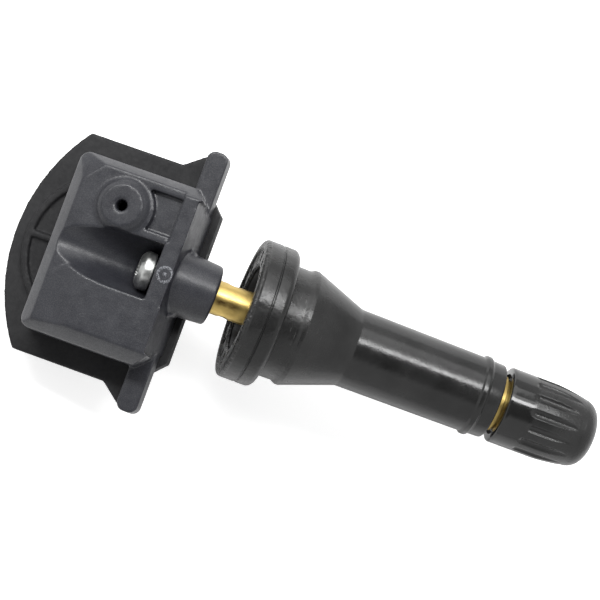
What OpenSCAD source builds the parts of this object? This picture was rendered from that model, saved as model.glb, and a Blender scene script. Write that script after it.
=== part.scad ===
// Snap-in rubber valve with a tyre pressure sensor screwed to its inner end.
// Millimetres. The valve axis is X, pointing at the cap, and Z points out of the pressure port's side.
// The origin is on the valve axis in the plane of the flange shoulder that rests on the wheel rim.
// Stations along the valve count from the flange face on the sensor's side.

/* [Rubber valve] */
// Diameter of the flange that stays inside the rim
flange_d = 19.5; // [18.6:0.1:20.4]
// Length from the flange face to the shoulder that rests on the rim
flange_len = 4.6; // [4.2:0.1:5.2]
// Diameter of the neck that sits in the rim hole
neck_d = 15.7; // [15.2:0.1:16.2]
// Diameter of the retaining ridge above the neck
ridge_d = 16.3; // [16.0:0.1:16.8]
// Diameter of the rubber stem
stem_rubber_d = 10.9; // [10.6:0.1:11.6]
// Station where the rubber ends below the thread
rubber_end = 36.6; // [36.3:0.05:36.8]
// Diameter of the bead near the rubber's outer end
bead_d = 11.25; // [11.0:0.05:12.0]
// Diameter of the hollow in the flange face
flange_hollow_d = 13.6; // [12:0.1:14.4]
// Depth of the hollow in the flange face
flange_hollow_depth = 2.4; // [1.6:0.1:2.8]
// Number of low pads on the flange face
pad_count = 4; // [2:1:6]

/* [Brass stem] */
// Diameter of the brass shank that enters the sensor
shank_d = 4.7; // [4.4:0.1:4.9]
// Major diameter of the filler thread
thread_d = 7.75; // [7.7:0.01:7.75]
// Station of the stem's mouth
mouth_s = 47.8; // [47.6:0.1:48]
// Diameter of the air bore
air_bore_d = 2.4; // [2:0.1:2.6]

/* [Cap] */
// Station of the cap's open end
cap_start = 37.6; // [37.4:0.1:37.8]
// Outside diameter of the cap
cap_d = 10.7; // [10.4:0.1:11.2]
// Number of grip flutes
flute_count = 12; // [8:1:14]
// Depth of the grip flutes
flute_depth = 0.4; // [0.2:0.05:0.5]

/* [Sensor housing] */
// Angle between the sensor's base and the valve axis, in degrees
sensor_tilt = 18; // [16:0.5:19]
// Length of the housing along the sensor
box_len = 18.6; // [18.2:0.1:19]
// Width of the housing
box_w = 25.0; // [24.6:0.1:25.4]
// Span over the two wings
wing_span = 37.1; // [36:0.1:38]
// Length of a wing along the sensor
wing_len = 2.95; // [2.6:0.05:3.2]
// Diameter of the boss that takes the brass shank, at its root
boss_d = 9.0; // [8.8:0.1:9.4]
// Diameter of the flat disc around the pressure port
port_disc_d = 5.8; // [5:0.1:6]
// Diameter of the pressure port
port_d = 1.5; // [1:0.1:1.8]
// Width of the open channel in front of the screw
channel_w = 7.7; // [7.4:0.1:7.9]

/* [Base cover] */
// Radius of the curved edge of the base
arc_r = 25.75; // [25.2:0.05:26.2]
// Distance from the housing's end wall to the far point of the curved edge
arc_reach = 24.7; // [24.4:0.1:25.2]
// Width of the base between its straight sides
plate_w = 31.3; // [30.6:0.1:31.8]
// Thickness of the base's flat rim
plate_t = 2.4; // [1.8:0.1:2.8]

/* [Electronics] */
// Diameter of the coin cell
cell_d = 20; // [19.5:0.1:20]
// Thickness of the coin cell
cell_t = 3.2; // [2.8:0.1:3.2]
// Thickness of the circuit board
board_t = 0.8; // [0.6:0.1:1]

/* [Hidden] */
$fn = 96;
eps = 0.01;
big = 60;
fit_gap = 0.05;
skin_gap = 0.02;

// Valve axis and sensor frame
wall_s = -10.05;
wall_z = 2.28;

// Stations along the rubber and the stem
bead_s = 34.05;
thread_s = 34.85;

// Housing levels, counted down from its top
box_h = 6.0;
chamfer_drop = 2.2;
side_chamfer = 1.6;
left_chamfer = 1.65;
wall_t = 1.3;
end_wall_t = 1.6;
ceiling = 2.4;
panel_drop = 0.65;
band_len = 2.8;
wing_drop = 3.3;
wing_out = 0.4;
wing_x0 = wing_out - wing_len;
corner_r = 1.5;
corner_cut = 2.64;

// Boss, screw and channel
boss_end_s = -4.35;
boss_tip_d = 8.2;
boss_draft_end = 0.5;
boss_root_s = -11.6;
boss_fillet = 0.7;
boss_flat_drop = 0.25;
boss_gap = 0.4;
shank_start_s = -9.9;
screw_seat_s = -12.7;
seat_ring_h = 0.4;
seat_ring_d = 4.6;
screw_d = 3;
screw_head_d = 5.7;
screw_head_h = 2.4;
screw_tip_s = -5.4;
socket_deep = 1.4;
channel_wall = 0.75;
channel_end = -30;

// Ring that an ejector pin leaves on the end band, with a pip in it
pin_mark_x = -1.55;
pin_mark_y = 0.45;
pin_mark_r = 0.95;

// Port
port_x = -10.4;
port_y = box_w / 2 - 5.65;
port_rise = 0.35;
mound_d = 8.2;

// Pocket beside the port
pocket_x0 = -8.1;
pocket_x1 = -2.85;
pocket_y0 = port_y - 1.9;
pocket_y1 = box_w / 2 - 2.2;
pocket_drop = 1.45;

// Cover levels
cell_x = -11.75;
cell_top = -6.5;
cell_side_gap = 0.25;
cell_top_gap = 0.3;
cell_floor = cell_top - cell_t;
pan_wall = 1.05;
pan_r = cell_d / 2 + cell_side_gap + pan_wall;
pan_top = -5.2;
pan_recess = 0.45;
pan_rim = 0.95;
pan_rib_w = 0.8;
pan_chamfer = 0.5;
pan_floor_t = 0.6;
pan_bottom = cell_floor - pan_floor_t;
plate_setback = 0.9;
lip_out = 1.5;
lip_half = 10.6;
flare_x = -5.9;

// Core and cap
pin_r = 0.55;
spring_low = -13.4;
spring_high = -7.9;
seal_t = 1.2;

// Board levels
board_top = -3.8;
board_gap = 0.6;
board_x0 = wall_t + board_gap - box_len;
board_x1 = -end_wall_t - 0.3;
board_half = box_w / 2 - wall_t - 0.5;
notch_x0 = -12.1;
notch_half = 5.1;
tab_w = 2.4;
tab_y = notch_half + 0.1 + tab_w / 2;
tab_x = -5.4;
coil_size = [5.0, 3.0];
sensor_size = 5;
chip_size = 5;

// Puts a shape whose own axis is Z onto the valve axis, counting its height as a station.
module on_valve() {
    translate([-flange_len, 0, 0]) rotate([0, 90, 0]) children();
}

// Puts a shape in the sensor's own frame: X to the valve, Z out of the port's side.
module on_sensor() {
    translate([wall_s - flange_len, 0, wall_z]) rotate([0, -sensor_tilt, 0]) children();
}

module ring(r_out, r_in, s0, s1) {
    translate([0, 0, s0]) difference() {
        cylinder(h = s1 - s0, r = r_out);
        translate([0, 0, -1]) cylinder(h = s1 - s0 + 2, r = r_in);
    }
}

// Points of a round corner of radius r about (cx, cy), from angle a0 to a1.
function corner(cx, cy, r, a0, a1, n) =
    [for (i = [0:n]) [cx + r * cos(a0 + (a1 - a0) * i / n), cy + r * sin(a0 + (a1 - a0) * i / n)]];

// Plan of the housing: rounded far corners and cut corners at the end wall.

module plan_outline() {
    half = box_w / 2;
    difference() {
        union() {
            translate([-box_len + corner_r, -half]) square([box_len - corner_r, box_w]);
            translate([-box_len, -half + corner_r]) square([box_len, box_w - 2 * corner_r]);
            for (m = [-1, 1]) translate([-box_len + corner_r, m * (half - corner_r)]) circle(r = corner_r);
        }
        for (m = [-1, 1]) translate([0, m * half]) rotate(45) square(corner_cut, center = true);
    }
}

// Outline of the housing seen along the valve: upright sides under long sloped shoulders.
module side_profile() {
    half = box_w / 2;
    polygon([[-half, -box_h], [-half, -chamfer_drop], [-half + side_chamfer + 0.2, 0],
        [half - side_chamfer, 0], [half, -chamfer_drop], [half, -box_h]]);
}

// Outline of the housing seen across the valve: its top slopes down towards the far end.
module end_profile() {
    polygon([[-box_len, -box_h], [-box_len, -chamfer_drop], [-box_len + left_chamfer, -0.75],
        [-12, 0], [0, 0], [0, -box_h]]);
}

// The housing as a solid block, before the panel, the port and the hollows.
module block() {
    intersection() {
        translate([0, 0, -box_h]) linear_extrude(box_h) plan_outline();
        translate([-box_len - 1, 0, 0]) rotate([90, 0, 90]) linear_extrude(box_len + 2) side_profile();
        translate([0, box_w, 0]) rotate([90, 0, 0]) linear_extrude(2 * box_w) end_profile();
        corner_facet();
    }
}

// Everything under the sloped plane that takes off the far port-side corner.
module corner_facet() {
    translate([-15.75, 8.5, -0.25]) rotate([0, 0, 49.6]) rotate([-24, 0, 0])
        translate([-big, -big, -big]) cube([2 * big, 2 * big, big]);
}

// Plan of the lowered panel that carries the port; the raised shelf keeps a rounded corner.
module panel_plan() {
    shelf = concat([[-20, -8.2]], corner(-13.1, -5.6, 3.0, 180, 84, 10),
        [[-band_len, -3.45], [-band_len, 14], [-20, 14]]);
    polygon(shelf);
}

module panel_cut() {
    translate([0, 0, -panel_drop]) linear_extrude(2) panel_plan();
}

// Low cone around the port with the flat disc on top.
module mound() {
    translate([port_x, port_y, -1.6]) cylinder(h = 1.6 + port_rise - 0.3, r1 = mound_d / 2 + 0.6, r2 = port_disc_d / 2 + 0.25);
    translate([port_x, port_y, -1.6]) cylinder(h = 1.6 + port_rise, r = port_disc_d / 2);
}

// A trough with a round floor, open upwards.
module channel_shape(r, deep) {
    rotate([90, 0, 90]) linear_extrude(deep) union() {
        circle(r = r);
        translate([-r, 0]) square([2 * r, 12]);
    }
}

// The screw channel follows the valve axis, so it is drawn in the valve's frame.
module channel(r, s0, s1) {
    translate([s0 - flange_len, 0, 0]) channel_shape(r, s1 - s0);
}

module housing_solid() {
    on_sensor() {
        difference() {
            union() {
                difference() {
                    block();
                    panel_cut();
                }
                intersection() {
                    block_bounds();
                    mound();
                }
                wings();
            }
            pocket();
        }
    }
    boss();
    on_sensor() translate([pin_mark_x, pin_mark_y, -0.5]) cylinder(h = 0.62, r1 = 0.4, r2 = 0.3);
}

module block_bounds() {
    half = box_w / 2;
    translate([-box_len, -half, -box_h]) cube([box_len, box_w, box_h + 1]);
}

// Shallow square pocket beside the port, rounded where it meets the cone.
module pocket() {
    difference() {
        translate([pocket_x0, pocket_y0, -pocket_drop])
            cube([pocket_x1 - pocket_x0, pocket_y1 - pocket_y0, 3]);
        translate([port_x, port_y, -5]) cylinder(h = 6, r = mound_d / 2 + 0.15);
    }
}

module wing_plan() {
    r = 1.15;
    half = wing_span / 2;
    translate([wing_x0, -half + r]) square([wing_len, 2 * half - 2 * r]);
    for (m = [-1, 1], x = [wing_x0 + r, wing_out - r]) translate([x, m * (half - r)]) circle(r = r);
    translate([wing_x0 + r, -half]) square([wing_len - 2 * r, 2 * half]);
}

// The two wings at the end wall, joined to the box and open below it.
module wings() {
    difference() {
        translate([0, 0, -box_h]) linear_extrude(box_h - wing_drop) wing_plan();
        translate([-wing_len - 1, -box_w / 2 + 1, -box_h - 1]) cube([wing_len + 0.6, box_w - 2, box_h]);
        translate([wing_out - 3, -box_w / 2 + 3, -box_h - 1]) cube([6, box_w - 6, box_h]);
    }
}

// Drafted boss around the brass shank, with a small chamfer at its end. Its root stays below the
// housing's top and widens where it meets the end wall.
module boss() {
    difference() {
        boss_round();
        on_sensor() translate([-big, -big / 2, -boss_flat_drop]) cube([2 * big, big, big]);
    }
    boss_root();
}

// Cone where the boss widens into the end wall, kept between the base and the top.
module boss_root() {
    axis_drop = wall_z * cos(sensor_tilt);
    on_sensor() intersection() {
        translate([-0.5, 0, -axis_drop]) rotate([0, 90, 0])
            cylinder(h = 0.5 + boss_fillet, r1 = boss_d / 2 + boss_fillet + 0.2, r2 = boss_d / 2);
        translate([-1, -big / 2, -box_h + 0.3]) cube([4, big, box_h - 0.3 - boss_flat_drop]);
    }
}

module boss_round() {
    on_valve() {
        translate([0, 0, boss_root_s])
            cylinder(h = boss_end_s - boss_draft_end - boss_root_s, d1 = boss_d + 0.15, d2 = boss_tip_d + 0.05);
        translate([0, 0, boss_end_s - boss_draft_end])
            cylinder(h = boss_draft_end, d1 = boss_tip_d + 0.05, d2 = boss_tip_d - 0.6);
    }
}

// Room for the electronics, up to the walls, the ceiling and the trough around the channel.
module inner_space() {
    difference() {
        on_sensor() translate([-box_len + wall_t, -box_w / 2 + wall_t, -box_h - 1])
            cube([box_len - wall_t - end_wall_t, box_w - 2 * wall_t, box_h + 1 - ceiling]);
        channel(channel_w / 2 + channel_wall, channel_end, wall_s + end_wall_t);
    }
}

module housing() {
    color([0.26, 0.27, 0.29]) difference() {
        intersection() {
            housing_solid();
            housing_limit();
        }
        inner_space();
        difference() {
            channel(channel_w / 2, channel_end, screw_seat_s + seat_ring_h);
            on_valve() translate([0, 0, screw_seat_s]) cylinder(h = 1, d = seat_ring_d);
        }
        on_valve() {
            translate([0, 0, shank_start_s]) cylinder(h = 12, r = shank_d / 2 + fit_gap);
            translate([0, 0, screw_seat_s - 1]) cylinder(h = 4, r = screw_d / 2 + 0.1);
        }
        on_sensor() {
            translate([pin_mark_x, pin_mark_y, 0]) ring(pin_mark_r, pin_mark_r - 0.22, -0.12, 1);
            translate([cell_x, 0, -box_h - 1]) cylinder(h = 1 + box_h + pan_top, r = pan_r + skin_gap);
            translate([port_x, port_y, -4]) cylinder(h = 5, d = port_d);
            translate([port_x, port_y, port_rise - 0.25]) cylinder(h = 0.4, r1 = port_d / 2, r2 = port_d / 2 + 0.35);
        }
    }
}

// The housing ends at its base plane; only the boss passes it, outside the end wall.
module housing_limit() {
    on_sensor() translate([-big, -big / 2, -box_h]) cube([big, big, big]);
    on_sensor() translate([0, -big / 2, -big / 2]) cube([big, big, big]);
}

// Plan of the base: a curved far edge, straight sides that flare into strips under the wings,
// set back so that the wings hide them, and a lip in front of the end wall.

module plate_plan() {
    half = plate_w / 2;
    wing_half = wing_span / 2 - 0.3;
    strip_x = -plate_setback;
    intersection() {
        translate([arc_r - arc_reach, 0]) circle(r = arc_r, $fn = 180);
        polygon([[-30, -half], [flare_x, -half], [wing_x0, -wing_half], [strip_x, -wing_half],
            [strip_x, -lip_half - lip_out - plate_setback], [lip_out, -lip_half], [lip_out, lip_half],
            [strip_x, lip_half + lip_out + plate_setback],
            [strip_x, wing_half], [wing_x0, wing_half], [flare_x, half], [-30, half]]);
    }
}

module base_cover() {
    color([0.16, 0.16, 0.17]) difference() {
        on_sensor() difference() {
            union() {
                translate([0, 0, -box_h - plate_t]) linear_extrude(plate_t) plate_plan();
                translate([cell_x, 0, pan_bottom + pan_chamfer])
                    cylinder(h = pan_top - pan_bottom - pan_chamfer, r = pan_r);
                translate([cell_x, 0, pan_bottom])
                    cylinder(h = pan_chamfer, r1 = pan_r - pan_chamfer, r2 = pan_r);
            }
            cell_well();
            pan_hollow();
        }
        on_valve() translate([0, 0, -14]) cylinder(h = 20, r = boss_d / 2 + boss_gap);
    }
}

// The well that holds the cell. Its top is open under the housing and closed by the pan outside it.
module cell_well() {
    well_r = pan_r - pan_wall;
    translate([cell_x, 0, cell_floor]) cylinder(h = cell_t + cell_top_gap, r = well_r);
    intersection() {
        translate([cell_x, 0, cell_floor]) cylinder(h = pan_top - cell_floor + 1, r = well_r);
        translate([wall_t - box_len - 0.1, -big / 2, -big / 2]) cube([big, big, big]);
    }
}

// Shallow recess in the pan outside the housing, with one rib from its rim to the housing.
module pan_hollow() {
    difference() {
        intersection() {
            translate([cell_x, 0, pan_top - pan_recess]) cylinder(h = 3, r = pan_r - pan_rim);
            translate([-big - box_len - 0.1, -big / 2, -10]) cube([big, big, 20]);
        }
        translate([cell_x - pan_r, -pan_rib_w / 2, -10]) cube([pan_r, pan_rib_w, 20]);
    }
}

// Lithium coin cell: a can with a smaller negative face below.

module coin_cell() {
    step = 1.1;
    color([0.75, 0.76, 0.77]) on_sensor() translate([cell_x, 0, 0]) {
        translate([0, 0, cell_floor + 0.4]) cylinder(h = cell_t - 0.4, d = cell_d);
        translate([0, 0, cell_floor]) cylinder(h = 0.4, d = cell_d - 2 * step);
    }
}

// Strip that lies on the cell and stands up to the board.
module cell_tab(y, w, z0, z1, x) {
    strip = 0.2;
    on_sensor() {
        translate([x, y - w / 2, z0]) cube([strip, w, z1 - z0]);
        translate([x - 3, y - w / 2, z0]) cube([3 + strip, w, strip]);
    }
}

module cell_tab_plus() {
    color([0.78, 0.78, 0.76]) cell_tab(tab_y, tab_w, cell_top, board_top - board_t, tab_x);
}

module cell_tab_minus() {
    color([0.78, 0.78, 0.76]) cell_tab(-tab_y, tab_w, cell_top, board_top - board_t, tab_x);
}

// Plan of the board, notched for the screw channel and the boss.
module board_plan() {
    difference() {
        translate([board_x0, -board_half]) square([board_x1 - board_x0, 2 * board_half]);
        translate([notch_x0, -notch_half]) square([20, 2 * notch_half]);
    }
}

module circuit_board() {
    color([0.07, 0.30, 0.16]) on_sensor()
        translate([0, 0, board_top - board_t]) linear_extrude(board_t) board_plan();
}

// A flat part on the board's upper side, centred at (x, y).
module chip(x, y, size, h) {
    on_sensor() translate([x - size[0] / 2, y - size[1] / 2, board_top]) cube([size[0], size[1], h]);
}

module pressure_sensor() {
    h = 1.0;
    color([0.12, 0.12, 0.13]) difference() {
        chip(port_x, port_y + 0.75, [sensor_size, sensor_size], h);
        on_sensor() translate([port_x, port_y, board_top + 0.4]) cylinder(h = 2, d = 1.2);
    }
}

module port_seal() {
    color([0.20, 0.20, 0.21]) on_sensor() translate([port_x, port_y, 0])
        ring(1.6, 0.9, board_top + 1.0, -ceiling);
}

module controller_chip() {
    color([0.10, 0.10, 0.11]) chip(-6.0, -(board_half - chip_size / 2 - 0.3), [chip_size, chip_size], 0.9);
}

module clock_crystal() {
    color([0.72, 0.72, 0.70]) chip(-10.6, -(board_half - 2.3), [2.5, 3.2], 0.7);
}

module receiver_coil() {
    color([0.30, 0.22, 0.16]) chip(board_x1 - 0.6 - coil_size[0] / 2, board_half - 2.8, coil_size, 1.2);
}

module transmit_antenna() {
    strip = 0.5;
    y0 = 0.9 - board_half;
    x0 = board_x0 + 0.5;
    color([0.78, 0.60, 0.30]) on_sensor() {
        for (y = [y0, -y0 - strip]) translate([x0, y, board_top]) cube([strip, strip, 1.2]);
        translate([x0, y0, board_top + 1.2 - 0.3]) cube([strip, -2 * y0, 0.3]);
    }
}

module chip_parts() {
    color([0.55, 0.50, 0.42]) for (i = [0:4])
        chip(board_x0 + 2.3, 4.2 - board_half + 2.1 * i, [0.8, 1.6], 0.5);
}

// Thread-forming screw with a low domed head and a six-lobed socket.

module retaining_screw() {
    tip = 0.5;
    dome = 0.6;
    color([0.80, 0.81, 0.82]) on_valve() difference() {
        union() {
            translate([0, 0, screw_seat_s]) cylinder(h = screw_tip_s - tip - screw_seat_s, d = screw_d);
            translate([0, 0, screw_tip_s - tip]) cylinder(h = tip, d1 = screw_d, d2 = screw_d - 2 * tip);
            translate([0, 0, screw_seat_s - screw_head_h + dome])
                cylinder(h = screw_head_h - dome, d = screw_head_d);
            translate([0, 0, screw_seat_s - screw_head_h])
                cylinder(h = dome, d1 = screw_head_d - 1.5, d2 = screw_head_d);
        }
        translate([0, 0, screw_seat_s - screw_head_h - 1]) star_socket(1 + socket_deep);
    }
}

// Six-lobed socket, deep enough for the driver.
module star_socket(h) {
    lobe_r = 0.5;
    core_r = 0.95;
    cylinder(h = h, r = core_r);
    for (i = [0:5]) rotate(60 * i) translate([core_r, 0, 0]) cylinder(h = h, r = lobe_r / 2);
}

// Outline of the brass stem as (radius, station) pairs from its inner end to its mouth.
function stem_outline() = [[0, shank_start_s], [shank_d / 2 - 0.3, shank_start_s],
    [shank_d / 2, shank_start_s + 0.3], [shank_d / 2, 2.6], [3.4, 3.4], [3.4, 4.6], [2.9, 4.9], [2.9, 5.8],
    [3.4, 6.1], [3.4, 7.4], [2.9, 7.8], [2.9, thread_s - 1.4], [thread_d / 2, thread_s],
    [thread_d / 2, mouth_s - 0.5], [thread_d / 2 - 0.5, mouth_s], [0, mouth_s]];

// Core chamber, air bore, blind screw hole and the cross hole that lets air into the tyre.
module stem_chamber() {
    translate([0, 0, mouth_s - 7.8]) cylinder(h = 20, r = 2.65);
    translate([0, 0, mouth_s - 9]) cylinder(h = 1.2 + eps, r1 = 2.0, r2 = 2.65);
    translate([0, 0, mouth_s - 19.2]) cylinder(h = 10.2 + eps, r = 2.0);
    translate([0, 0, -3.4]) cylinder(h = mouth_s - 15, d = air_bore_d);
    translate([0, 0, shank_start_s - 1]) cylinder(h = 1 + screw_tip_s + 0.6 - shank_start_s, r = screw_d / 2 + fit_gap);
    translate([0, 0, -2.2]) rotate([90, 0, 0]) cylinder(h = 10, r = 0.9, center = true);
}

module brass_stem() {
    color([0.80, 0.62, 0.28]) on_valve() difference() {
        rotate_extrude() polygon(stem_outline());
        stem_chamber();
    }
}

// Outer outline of the rubber as (radius, station) pairs from the flange face to the outer end.
function rubber_outline() = let (fr = flange_d / 2, nr = neck_d / 2, rr = ridge_d / 2,
        sr = stem_rubber_d / 2, br = bead_d / 2, fl = flange_len, lip = 0.9, seat_r = 8.65) concat(
    corner(fr - lip, lip, lip, -90, 0, 6),
    [[fr, 2.15], [fr - 0.16, 2.22], [fr - 0.16, 2.38], [fr, 2.45]],
    corner(seat_r, fl - (fr - seat_r), fr - seat_r, 0, 90, 7),
    [[nr, fl], [nr - 0.04, fl + 2.05], [rr - 0.05, fl + 2.75], [rr, fl + 2.95], [rr - 0.05, fl + 3.2],
        [nr - 0.1, fl + 3.9]],
    [for (i = [0:6]) let (t = i / 6) [nr - 0.15 - (nr - sr - 0.6) * t, fl + 4.7 + 5.25 * t]],
    [for (i = [1:5]) let (t = i / 5) [sr + 0.45 - 0.43 * sin(90 * t), fl + 9.95 + 0.9 * t]],
    [[sr, 20], [sr - 0.12, bead_s - 0.65]],
    [for (i = [0:6]) let (a = 180 * i / 6) [sr - 0.12 + (br - sr + 0.12) * sin(a), bead_s - 0.65 * cos(a)]],
    [[sr - 0.2, rubber_end - 0.7], [sr - 0.55, rubber_end]]);

function rubber_inner() = let (g = skin_gap, hr = flange_hollow_d / 2, hd = flange_hollow_depth,
        sh = shank_d / 2 + skin_gap) [[thread_d / 2 + g, rubber_end], [thread_d / 2 + g, thread_s - g],
    [2.9 + g, thread_s - 1.4 - g], [2.9 + g, 7.8 + g], [3.4 + g, 7.4 + g], [3.4 + g, 6.1 - g], [2.9 + g, 5.8 - g],
    [2.9 + g, 4.9 + g], [3.4 + g, 4.6 + g], [3.4 + g, 3.4 - g], [sh + 0.01, 2.6 - g], [sh, 0.9],
    [sh + 0.5, 0.4], [4.0, 0.6], [4.4, hd], [hr - 0.8, hd], [hr, 0.25], [hr + 0.2, 0]];

module rubber_body() {
    color([0.13, 0.13, 0.13]) on_valve() {
        rotate_extrude() polygon(concat(rubber_outline(), rubber_inner()));
        pads();
    }
}

// Low arc pads on the flange face.
module pads() {
    sweep = 26;
    for (i = [0:pad_count - 1]) rotate(360 / pad_count * i + 20)
        rotate_extrude(angle = sweep) translate([7.35, -0.25]) square([1.2, 0.3]);
}

// Puts a piece of the core on the valve axis, counting its height from the stem's mouth.
module on_core() {
    on_valve() translate([0, 0, mouth_s]) children();
}

module core_plug() {
    head_r = 2.6;
    slot = 2.2;
    color([0.82, 0.66, 0.34]) on_core() difference() {
        union() {
            translate([0, 0, -6.2]) cylinder(h = 4.4, r = head_r);
            translate([0, 0, -1.8]) cylinder(h = 0.8, r = 1.7);
        }
        translate([0, 0, -7]) cylinder(h = 7, r = 1.05);
        for (m = [-1, 1]) translate([m * head_r, 0, -2]) cube([slot, 6, 3], center = true);
    }
}

module core_barrel() {
    color([0.80, 0.64, 0.32]) on_core() rotate_extrude() polygon([[0.75, -14.2], [1.75, -14.2],
        [1.75, -8.6], [1.45, -8.6], [1.45, -7.6], [1.75, -7.6], [1.75, -6.2], [1.05, -6.2],
        [1.05, -6.8], [1.3, -7], [1.3, -13.4], [0.75, -13.4]]);
}

module core_barrel_seal() {
    color([0.80, 0.20, 0.16]) on_core() rotate_extrude() polygon([[1.47, -8.58], [2.15, -8.58],
        [2.5, -7.9], [2.4, -7.62], [1.47, -7.62]]);
}

module core_pin() {
    color([0.82, 0.68, 0.38]) on_core() {
        translate([0, 0, -16.2]) cylinder(h = 15.9, r = pin_r);
        translate([0, 0, spring_high]) cylinder(h = 0.5, r = 1.2);
        translate([0, 0, -16.6]) cylinder(h = 0.6, r = 1.45);
    }
}

module core_cup() {
    color([0.10, 0.10, 0.10]) on_core() ring(1.6, pin_r + skin_gap, -16, -14.2 - skin_gap);
}

// The spring's turns stand close together, so they are drawn as one ribbed sleeve.
module core_spring() {
    turns = 9;
    pitch = (spring_high - spring_low) / turns;
    color([0.75, 0.75, 0.76]) on_core() rotate_extrude()
        polygon(concat([[0.75, spring_low], [0.75, spring_high]],
        [for (i = [turns - 1:-1:0]) each [[0.95, spring_low + pitch * (i + 0.99)],
            [1.18, spring_low + pitch * (i + 0.75)], [1.18, spring_low + pitch * (i + 0.25)],
            [0.95, spring_low + pitch * (i + 0.01)]]]));
}

// The cap before its flutes are cut: smooth collar, drafted grip and domed end.

module cap_body() {
    r = cap_d / 2;
    c = cap_start;
    top = mouth_s + seal_t;
    rotate_extrude() polygon(concat(
        [[thread_d / 2 + fit_gap, c], [r - 0.25, c], [r, c + 0.25], [r, c + 6.3], [r - 0.1, c + 7.4],
            [r - 0.2, c + 8.6], [r - 0.31, c + 9.75], [r - 0.5, c + 10.8]],
        [for (i = [0:7]) let (a = 90 * i / 7) [(r - 0.62) * pow(cos(a), 0.62), c + 11.4 + 2.65 * sin(a)]],
        [[0, top], [thread_d / 2 + fit_gap, top]]));
}

module flute() {
    cut_r = 1.0;
    lean = 5;
    translate([cap_d / 2 + cut_r - flute_depth, 0, cap_start + 5.0]) rotate([0, -lean, 0]) {
        cylinder(h = 6.2, r = cut_r, $fn = 32);
        sphere(r = cut_r, $fn = 32);
        translate([0, 0, 6.2]) sphere(r = cut_r, $fn = 32);
    }
}

module cap() {
    color([0.10, 0.10, 0.10]) on_valve() difference() {
        cap_body();
        for (i = [0:flute_count - 1]) rotate(360 / flute_count * i) flute();
    }
}

module cap_seal() {
    color([0.25, 0.25, 0.26]) on_valve() ring(3.7, 1.2, mouth_s + skin_gap, mouth_s + seal_t - skin_gap);
}

housing();
base_cover();
coin_cell();
cell_tab_plus();
cell_tab_minus();
circuit_board();
pressure_sensor();
port_seal();
controller_chip();
clock_crystal();
receiver_coil();
transmit_antenna();
chip_parts();
retaining_screw();
brass_stem();
rubber_body();
core_plug();
core_barrel();
core_barrel_seal();
core_pin();
core_cup();
core_spring();
cap();
cap_seal();
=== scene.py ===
import math

import bmesh
import bpy
from mathutils import Matrix, Vector


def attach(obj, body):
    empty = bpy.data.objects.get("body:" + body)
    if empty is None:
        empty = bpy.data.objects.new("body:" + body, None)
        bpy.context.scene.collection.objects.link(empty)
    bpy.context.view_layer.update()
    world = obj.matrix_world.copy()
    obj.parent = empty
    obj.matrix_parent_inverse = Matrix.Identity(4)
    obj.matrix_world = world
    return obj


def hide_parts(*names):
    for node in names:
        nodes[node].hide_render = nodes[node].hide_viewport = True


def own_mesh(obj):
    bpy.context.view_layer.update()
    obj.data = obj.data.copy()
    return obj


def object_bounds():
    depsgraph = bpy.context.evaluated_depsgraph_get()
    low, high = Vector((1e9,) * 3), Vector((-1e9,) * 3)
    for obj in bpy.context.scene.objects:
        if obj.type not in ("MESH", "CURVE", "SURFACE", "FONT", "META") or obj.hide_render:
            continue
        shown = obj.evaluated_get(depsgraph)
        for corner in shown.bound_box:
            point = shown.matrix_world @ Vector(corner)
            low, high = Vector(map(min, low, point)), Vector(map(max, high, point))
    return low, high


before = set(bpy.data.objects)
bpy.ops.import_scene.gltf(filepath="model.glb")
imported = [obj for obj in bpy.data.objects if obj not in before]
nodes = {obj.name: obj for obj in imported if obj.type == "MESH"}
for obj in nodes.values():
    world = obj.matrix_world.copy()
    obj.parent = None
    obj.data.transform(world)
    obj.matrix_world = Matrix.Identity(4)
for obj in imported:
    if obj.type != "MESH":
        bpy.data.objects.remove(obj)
cad_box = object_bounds()
mm = 0.001

# Stations along the valve are counted in millimetres from the flange's inner face, which lies
# this far behind the frame's origin.
flange_len = 4.6

# Camera: the picture looks down on the port's side from 355 mm, with the valve axis falling
# 20.7 degrees to the right and leaning 8.5 degrees away. The flange face is placed in the frame
# and the rest follows from it.
axis_fall = math.radians(20.74)
axis_lean = math.radians(8.5)
sensor_roll = math.radians(-4.0)
picture_px = 600
centre_px = picture_px / 2
focal_px = 2634.0
flange_depth = 353.6 * mm
flange_px = (243.1, 307.5)

along_valve = Vector((math.cos(axis_fall), -math.sin(axis_fall), 0))
across_valve = Vector((math.sin(axis_fall), math.cos(axis_fall), 0))
to_camera = Vector((0, 0, 1))
row_x = math.cos(axis_lean) * along_valve - math.sin(axis_lean) * to_camera
level_z = math.cos(axis_lean) * to_camera + math.sin(axis_lean) * along_valve
row_y = math.cos(sensor_roll) * across_valve + math.sin(sensor_roll) * level_z
row_z = math.cos(sensor_roll) * level_z - math.sin(sensor_roll) * across_valve
row_to_view = Matrix((row_x, row_y, row_z)).transposed()
flange_in_view = Vector(((flange_px[0] - centre_px) / focal_px,
                         (centre_px - flange_px[1]) / focal_px, -1)) * flange_depth
flange_in_row = Vector((-flange_len * mm, 0, 0))

camera_data = bpy.data.cameras.new("camera")
camera_data.sensor_width = 36
camera_data.lens = focal_px * camera_data.sensor_width / picture_px
camera_data.clip_start = 0.01
camera_data.clip_end = 10
camera = bpy.data.objects.new("camera", camera_data)
bpy.context.collection.objects.link(camera)
view_to_row = row_to_view.transposed()
camera_place = Matrix.Translation(flange_in_row - view_to_row @ flange_in_view)
camera.matrix_world = camera_place @ view_to_row.to_4x4()
bpy.context.scene.camera = camera
bpy.context.scene.view_settings.view_transform = "Standard"

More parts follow.
